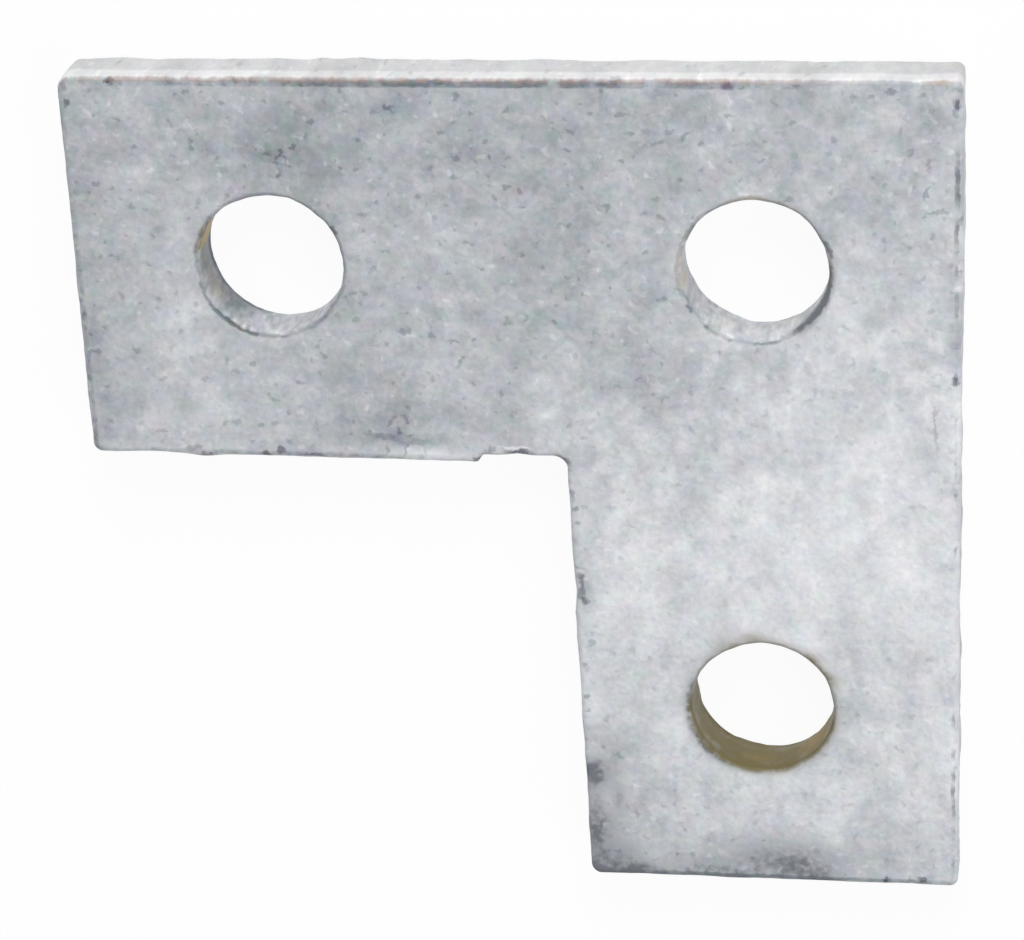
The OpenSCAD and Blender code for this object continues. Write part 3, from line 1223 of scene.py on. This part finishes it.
@dataclass(frozen=True)
class ZincFinish:
    """Weathered hot-dip zinc: mottled blue-grey, part metal, with dirt and painted shade along its
    rims and a painted highlight below them.
    """

    tones: tuple[tuple[float, Triple], ...] = (
        (0.25, (62, 66, 72)),
        (0.50, (124, 129, 135)),
        (0.65, (160, 165, 170)),
        (0.75, (188, 191, 196)),
        (0.85, (215, 217, 221)),
        (1.00, (248, 248, 249)),
    )
    base_tone: float = 0.708
    fringe: Triple = (172, 144, 132)
    dust: Triple = (226, 220, 212)
    # Soot is dirt on the foot, on the arm hole's wall and along the back rims of the arm and leg
    # holes, and painted shade on the corner hole's rim and just outside the leg hole's rim
    soot: Deposit = Deposit(
        Trace.SOOT, (96, 100, 108), base=0.9, blotch=2.4, grain=1.4, clear=-0.05, full=0.9,
        flake=0.2, cover=0.9,
    )
    olive: Deposit = Deposit(
        Trace.OLIVE, (108, 98, 60), base=0.95, blotch=1.2, grain=0.3, clear=0.05, full=1.0
    )
    ochre: Deposit = Deposit(
        Trace.OCHRE, (172, 144, 84), base=0.9, blotch=1.6, grain=0.8, clear=0.05, full=1.1
    )
    metal: float = 0.35
    soot_dulls: float = 0.3
    olive_dulls: float = 0.2
    rough: float = 0.52
    blotch_rough: float = 0.25
    soot_rough: float = 0.2
    turned_rough: float = 0.25
    bump: float = 0.5
    bump_depth: float = 0.2
    grain_relief: float = 0.5
    cloud_relief: float = 0.8
    # How far the noise is drawn out down the walls, where the punch and the shear ran
    drawn: float = 0.4
    # Patterns, with what each adds to the tone, the place or the colour
    cloud: Pattern = Pattern(9.0, 3.0, 0.55, weight=0.20)
    blotch: Pattern = Pattern(2.3, 3.0, 0.6, weight=0.21)
    grain: Pattern = Pattern(0.65, 1.0, weight=0.09)
    fleck: Pattern = Pattern(0.95, 0.5, weight=0.10)
    glint: Pattern = Pattern(0.95, 0.5, weight=0.06)
    drift: Pattern = Pattern(1.1, weight=0.9)
    fine: Pattern = Pattern(0.5, weight=0.8)
    tear: Pattern = Pattern(1.2)
    hue: Pattern = Pattern(1.9, weight=0.08)
    fleck_place: Triple = (31.0, 7.0, 0.0)
    glint_place: Triple = (5.0, 53.0, 0.0)
    speck_rim: Pair = (0.66, 0.78)
    chip: float = 0.6
    flake_drift: float = 0.5
    flake_size: float = 1.0
    flake_tone: float = 0.032
    flake_hue: float = 0.018
    # How much less the specks tell where the plate is lighter
    calm: float = 4.5
    # How far blotch and grain shift the runs
    edge_sway: Pair = (0.4, 0.3)
    bore_sway: Pair = (0.8, 0.5)
    # Where a long outer side, the edge's wall and a hole's wall begin and are full
    outer_side: Pair = (-17.5, -18.6)
    wall_rim: Pair = (0.35, 0.65)
    bore_rim: Pair = (0.3, 0.8)
    # Bands down the run of an edge or a hole: where each starts, is full, fades and ends
    land_band: Quad = (0.35, 0.65, 2.0, 2.8)
    mouth_band: Quad = (-0.1, 0.15, 0.35, 0.65)
    turned_band: Quad = (-0.1, 0.15, 0.8, 1.1)
    fringe_band: Quad = (-0.05, 0.10, 0.50, 0.72)
    top_line_band: Quad = (-0.62, -0.28, 0.10, 0.50)
    edge_line_band: Quad = (-0.36, -0.14, 0.10, 0.30)
    bore_line_band: Quad = (-0.3, -0.1, 0.15, 0.4)
    # What each part of the edges and holes adds to the tone
    # Painted light on the arm's long outer wall and painted shade on the leg's, for how the lamps fall
    # on them, and a painted highlight along the land below the rolled rim, strongest on the arm's
    # outer side
    wall_top_tone: float = 0.015
    wall_side_tone: float = -0.01
    land_tone: float = 0.02
    land_top_tone: float = 0.08
    # Painted shade that dulls the highlight on each hole's rolled rim
    mouth_tone: float = -0.08
    bore_mottle: float = 0.2
    # How the dark line is broken up, how dust and fringe cover, and how dark line and marks are
    line_base: float = 0.3
    line_torn: float = 1.4
    line_break: float = 0.3
    line_break_rim: Pair = (0.5, 0.75)
    line_rim: Pair = (0.05, 1.2)
    dust_cover: float = 0.25
    fringe_cover: float = 0.45
    fringe_torn: Pair = (0.30, 0.55)
    fringe_line: Pair = (0.05, 0.35)
    dark_tone: float = 0.24
    # How much wider than its size a mark is drawn, its rim and how deep it reaches
    mark_reach: float = 1.5
    mark_rim: Pair = (1.0, 0.45)
    mark_depth: float = 2.0

    def material(self) -> bpy.types.Material:
        """Builds the zinc's material.

        Returns:
            A material that reads Object coordinates and the plate's stored numbers.
        """
        made = bpy.data.materials.new("galvanised_zinc")
        made.use_nodes = True
        bench = NodeBench(made.node_tree)
        skin = self._skin(bench)
        mouth = skin.bore.band(*self.mouth_band)
        dark = self._line(skin).step(*self.line_rim) + self._marks(skin)
        colour = self._zinc_colour(skin, self._zinc_tone(skin, mouth) - dark * self.dark_tone)
        soot, olive = self.soot.amount(skin), self.olive.amount(skin)
        colour = self.olive.laid(self.soot.laid(colour, soot), olive)
        colour = self.ochre.laid(colour, self.ochre.amount(skin))
        turned = skin.edge.band(*self.turned_band).either(mouth)
        relief = skin.grain * self.grain_relief + skin.blotch + skin.cloud * self.cloud_relief
        bump = {"Strength": self.bump, "Distance": self.bump_depth * MM, "Height": relief}
        rough = self.rough + skin.blotch * self.blotch_rough + soot * self.soot_rough
        coat = {
            "Base Color": colour,
            "Metallic": self.metal - soot * self.soot_dulls - olive * self.olive_dulls,
            "Roughness": rough + turned * self.turned_rough,
            "Normal": bench.node("ShaderNodeBump", None, bump),
        }
        shader = bench.node("ShaderNodeBsdfPrincipled", None, coat)
        bench.node("ShaderNodeOutputMaterial", None, {"Surface": shader})
        return made

    def _skin(self, bench: NodeBench) -> Skin:
        """Works out the signals that the finish is mixed from.

        Args:
            bench: The material's bench.

        Returns:
            The signals.
        """
        place = bench.node("ShaderNodeTexCoord", output="Object")
        at = bench.vector("MULTIPLY", place, (1 / MM, 1 / MM, self.drawn / MM))
        drift, fine = bench.wander(at, self.drift), bench.wander(at, self.fine)
        ragged = bench.shifted(at, drift, self.drift.weight)
        chipped = bench.shifted(at, fine, self.chip)
        fleck = bench.noise(bench.vector("ADD", chipped, self.fleck_place), self.fleck)
        glint = bench.noise(bench.vector("ADD", chipped, self.glint_place), self.glint)
        flakes = {
            "Vector": bench.shifted(chipped, drift, self.flake_drift),
            "Scale": 1 / self.flake_size,
        }
        cell = bench.centred(bench.node("ShaderNodeTexVoronoi", None, flakes, "Color"))
        flake = bench.node("ShaderNodeSeparateXYZ", None, {0: cell})
        specks = flake * self.flake_tone - fleck.step(*self.speck_rim) * self.fleck.weight
        blotch = bench.noise(ragged, self.blotch) - 0.5
        grain = bench.noise(at, self.grain) - 0.5
        edge, bore = bench.stored(Trace.EDGE_RUN), bench.stored(Trace.HOLE_RUN)
        edge = edge + blotch * self.edge_sway[0] + grain * self.edge_sway[1]
        x = bench.node("ShaderNodeSeparateXYZ", None, {0: at})
        return Skin(
            bench=bench,
            ragged=ragged,
            jagged=bench.shifted(ragged, fine, self.fine.weight),
            cell=cell,
            shade=bench.stored(Trace.SHADE),
            cloud=bench.noise(at, self.cloud) - 0.5,
            blotch=blotch,
            grain=grain,
            flake=flake,
            specks=specks + glint.step(*self.speck_rim) * self.glint.weight,
            torn=bench.noise(ragged, self.tear),
            edge=edge,
            bore=bore + blotch * self.bore_sway[0] + grain * self.bore_sway[1],
            wall=edge.step(*self.wall_rim),
            top=x.other("Y").step(*self.outer_side),
            side=x.step(*self.outer_side),
        )

    def _zinc_tone(self, skin: Skin, mouth: Signal) -> Signal:
        """Works out how light the bare zinc is.

        The tone is a base and the stored shade, with the patterns added by their weights. The arm's
        long outer wall is a little lighter and the leg's a little darker, painted light and shade for
        how the lamps fall on them. The land below each rim is lighter, most on the arm's outer side, a
        painted highlight. A hole's mouth is darker, painted shade that dulls the highlight on its
        rolled rim, and a hole's wall is more uneven.

        Args:
            skin: The finish's signals.
            mouth: 1 on the rolled rim of a hole.

        Returns:
            The tone, a place on the ramp of tones.
        """
        tone = self.base_tone + skin.shade + skin.cloud * self.cloud.weight
        tone = tone + skin.blotch * self.blotch.weight + skin.grain * self.grain.weight
        tone = tone + skin.specks * (1.0 - skin.shade * self.calm)
        land = skin.edge.band(*self.land_band)
        uneven = skin.bore.step(*self.bore_rim) * (skin.blotch + skin.grain)
        wall = skin.top * self.wall_top_tone + skin.side * self.wall_side_tone
        land = land * (self.land_tone + skin.top * self.land_top_tone)
        return tone + skin.wall * wall + land + mouth * self.mouth_tone + uneven * self.bore_mottle

    def _line(self, skin: Skin) -> Signal:
        """Draws the dark line along the rims. On the arm's long outer side it is dirt; on the rolled
        rims of the foot, the arm's inner edge and the arm's end it is painted shade.

        Args:
            skin: The finish's signals.

        Returns:
            The stored strength, broken up by noise, inside bands along the rims. The widest band is
            the one on the arm's long outer side.
        """
        wide = skin.edge.band(*self.top_line_band) * skin.top
        narrow = skin.edge.band(*self.edge_line_band).either(skin.bore.band(*self.bore_line_band))
        line = skin.bench.stored(Trace.LINE) * (self.line_base + skin.torn * self.line_torn)
        line = line + skin.torn.step(*self.line_break_rim) * self.line_break
        return line * wide.either(narrow)

    def _zinc_colour(self, skin: Skin, tone: Signal) -> Signal:
        """Turns the tone into the colour of zinc, with a random tint, dust and a brownish fringe.

        Args:
            skin: The finish's signals.
            tone: The place on the ramp of tones.

        Returns:
            The colour.
        """
        bench = skin.bench
        colour = bench.node("ShaderNodeValToRGB", {"stops": self.tones}, {0: tone})
        colour = bench.shifted(colour, bench.wander(skin.ragged, self.hue), self.hue.weight)
        colour = bench.shifted(colour, skin.cell, self.flake_hue)
        colour = bench.tinted(colour, self.dust, skin.wall * skin.top * self.dust_cover)
        fringe = skin.edge.band(*self.fringe_band) * skin.top * skin.torn.step(*self.fringe_torn)
        fringe = fringe * bench.stored(Trace.LINE).step(*self.fringe_line)
        return bench.tinted(colour, self.fringe, fringe * self.fringe_cover)

    def _marks(self, skin: Skin) -> Signal:
        """Draws the small crisp marks on the front, each an ellipse with a ragged rim.

        Args:
            skin: The finish's signals.

        Returns:
            The sum of the marks, where a light one counts below 0. Each is full inside the second
            share of its drawn size that mark_rim gives and gone at the first.
        """
        total = None
        for mark in MARKS:
            size = (mark.along * self.mark_reach, mark.across * self.mark_reach)
            inputs = {
                "Vector": skin.jagged,
                "Location": (mark.x, mark.y, mark.z * self.drawn),
                "Rotation": (0.0, 0.0, math.radians(mark.turn)),
                "Scale": (*size, self.mark_depth * self.drawn),
            }
            own = skin.bench.node("ShaderNodeMapping", {"vector_type": "TEXTURE"}, inputs)
            reach = skin.bench.node("ShaderNodeVectorMath", {"operation": "LENGTH"}, {0: own}, 1)
            spot = reach.step(*self.mark_rim) * mark.strength
            total = spot if total is None else total + spot
        return total


@dataclass(frozen=True)
class FloorFinish:
    """A pale matt floor that the camera sees as white, with the object's shadow on it."""

    paint: Triple = (243, 243, 243)
    glow: float = 0.94

    def material(self) -> bpy.types.Material:
        """Builds the floor's material.

        Returns:
            A material that mixes its matt paint with white light where the camera, a reflection or
            glass looks at it, and is plain matt paint for all other light.
        """
        made = bpy.data.materials.new("pale_floor")
        made.use_nodes = True
        bench = NodeBench(made.node_tree)
        paint = bench.node("ShaderNodeBsdfDiffuse", None, {"Color": linear(self.paint)})
        white = bench.node("ShaderNodeEmission", None, {"Color": (1, 1, 1, 1), "Strength": 1.0})
        seen = looked_at(bench) * self.glow
        mixed = bench.node("ShaderNodeMixShader", None, {0: seen, 1: paint, 2: white})
        bench.node("ShaderNodeOutputMaterial", None, {"Surface": mixed})
        return made


def looked_at(bench: NodeBench) -> Signal:
    """Gives 1 where the camera, a reflection or glass looks, and 0 for all other light."""
    path = bench.node("ShaderNodeLightPath", output="Is Camera Ray")
    return path.either(path.other("Is Glossy Ray")).either(path.other("Is Transmission Ray"))


@dataclass
class StudioFloor:
    """The floor that the plate lies on."""

    half_width: float = 4000.0
    drop: float = 0.14
    finish: FloorFinish = FloorFinish()

    def build(self) -> bpy.types.Object:
        """Makes the floor: a square that the lowest lumps of the plate's back rest on.

        Returns:
            The floor's object.
        """
        corner = np.array([(-1, -1), (1, -1), (1, 1), (-1, 1)]) * self.half_width
        points = np.column_stack([corner, np.full(4, BACK_Z - self.drop)]) * MM
        mesh = bpy.data.meshes.new("studio_floor")
        mesh.from_pydata(points, [], np.array([[0, 1, 2, 3]]))
        mesh.materials.append(self.finish.material())
        return placed("studio_floor", mesh)


@dataclass(frozen=True)
class SoftLamp:
    """A square area lamp that points at the plate's middle."""

    name: str
    place: Triple
    width: float
    power: float
    aim: Triple = (20.0, 20.0, 0.0)

    def build(self) -> bpy.types.Object:
        """Makes the lamp and turns it to its aim.

        Returns:
            The lamp's object.
        """
        data = bpy.data.lights.new(self.name, "AREA")
        data.size = self.width * MM
        data.energy = self.power
        lamp = placed(self.name, data)
        lamp.location = Vector(self.place) * MM
        ahead = Vector(self.aim) - Vector(self.place)
        lamp.rotation_euler = ahead.to_track_quat("-Z", "Y").to_euler()
        return lamp


LAMPS = (
    SoftLamp("key_lamp", (-60.0, -820.0, 520.0), 500.0, 7.2),
    SoftLamp("side_lamp", (-420.0, 260.0, 460.0), 400.0, 1.1),
)


@dataclass(frozen=True)
class StudioAir:
    """The world: even pale light all round, and white where it is looked at."""

    ambient: float = 0.45

    def build(self) -> None:
        """Makes the world and puts it in the scene."""
        world = bpy.data.worlds.new("studio_air")
        world.use_nodes = True
        bench = NodeBench(world.node_tree)
        strength = self.ambient + looked_at(bench) * (1 - self.ambient)
        sky = bench.node("ShaderNodeBackground", None, {"Color": (1, 1, 1, 1), "Strength": strength})
        bench.node("ShaderNodeOutputWorld", None, {"Surface": sky})
        bpy.context.scene.world = world


@dataclass(frozen=True)
class PhotoCamera:
    """The camera at the photograph's place, with its lens."""

    eye: Triple = (-31.50, -132.20, 333.79)
    aim: Triple = (24.77, 21.78, 3.0)
    roll: float = 2.823
    lens: float = 129.2
    sensor: float = 36.0
    nearest: float = 10.0
    farthest: float = 20000.0

    def build(self) -> bpy.types.Object:
        """Makes the camera and makes it the scene's.

        The picture's right starts as the direction square to the view and to -Y, which is up in the
        picture, and is then turned about the view by the roll.

        Returns:
            The camera object.
        """
        eye, aim = Vector(self.eye), Vector(self.aim)
        view = (aim - eye).normalized()
        level = view.cross(Vector((0.0, -1.0, 0.0))).normalized()
        upright = level.cross(view)
        roll = math.radians(self.roll)
        right = math.cos(roll) * level - math.sin(roll) * upright
        up = right.cross(view)
        data = bpy.data.cameras.new("photo_camera")
        data.lens = self.lens
        data.sensor_width = self.sensor
        data.clip_start = self.nearest * MM
        data.clip_end = self.farthest * MM
        camera = placed("photo_camera", data)
        turned = Matrix((right, up, -view)).transposed().to_4x4()
        camera.matrix_world = Matrix.Translation(eye * MM) @ turned
        bpy.context.scene.camera = camera
        return camera


def main() -> None:
    """Builds the camera, the studio and the plate, and reports each piece."""
    logging.basicConfig(level=logging.INFO, format="%(name)s: %(message)s")
    PhotoCamera().build()
    StudioAir().build()
    for lamp in LAMPS:
        lamp.build()
        LOG.info("lamp %s of %.1f W", lamp.name, lamp.power)
    floor = StudioFloor().build()
    plate = CornerPlate().build()
    plate.data.materials.append(ZincFinish().material())
    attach(plate, "root")
    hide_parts("bracket_plate")
    counts = len(plate.data.vertices), len(plate.data.polygons)
    LOG.info("plate %s: %d points, %d faces", plate.name, *counts)
    bpy.context.scene.view_settings.view_transform = "Standard"


if __name__ == "__main__":
    main()
